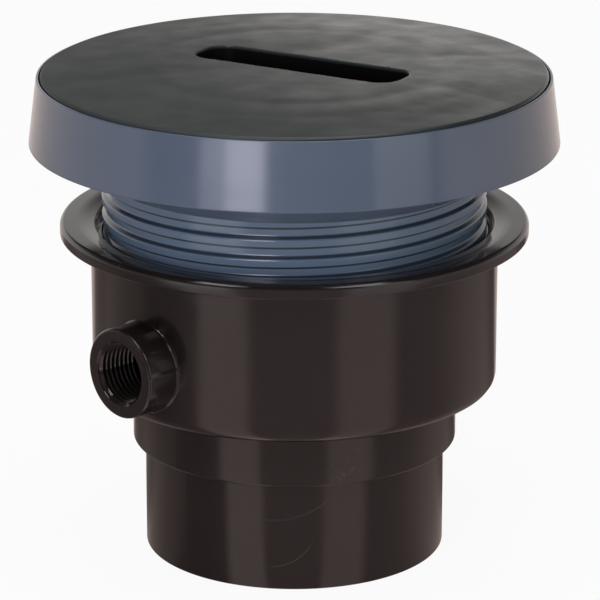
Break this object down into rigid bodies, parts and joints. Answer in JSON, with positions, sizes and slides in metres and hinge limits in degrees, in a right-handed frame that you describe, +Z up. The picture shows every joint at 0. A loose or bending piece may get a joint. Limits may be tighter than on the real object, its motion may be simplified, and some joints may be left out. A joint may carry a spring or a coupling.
{
  "type": "adjustable floor drain body",
  "caption": "Plastic floor drain body with spigot outlet, side port and flange, a head that screws in to set its height, and a loose slotted cover in the rim.",
  "frame": {"origin": "centre of the outlet's lower end, on the drain's axis, which is the bottom centre of the part", "axes": "+Z up the drain's axis, -X out of the side port"},
  "size_m": [0.177, 0.177, 0.1668],
  "materials": {
    "brown_plastic": "glossy moulded dark brown plastic, lightly scuffed",
    "blue_grey_plastic": "satin-gloss moulded blue-grey plastic",
    "black_rubber": "plain black rubber",
    "black_plastic": "semi-gloss moulded black plastic with sink marks"
  },
  "bodies": {
    "body": {"drain_body": "brown_plastic"},
    "rise": {"cover_gasket": "black_rubber"},
    "head": {"adjustable_head": "blue_grey_plastic", "construction_cover": "black_plastic"}
  },
  "joints": [
    {"name": "head_rise", "type": "slide", "parent": "body", "child": "rise", "axis": [0, 0, 1], "range_m": [-0.0199, 0.01]},
    {"name": "head_turn", "type": "hinge", "parent": "rise", "child": "head", "pos_m": [0, 0, 0.112], "axis": [0, 0, 1], "range_deg": [-1080, 540]}
  ],
  "couplings": [
    {"joint": "head_rise", "follows": "head_turn", "m_per_rad": 0.0010504}
  ]
}
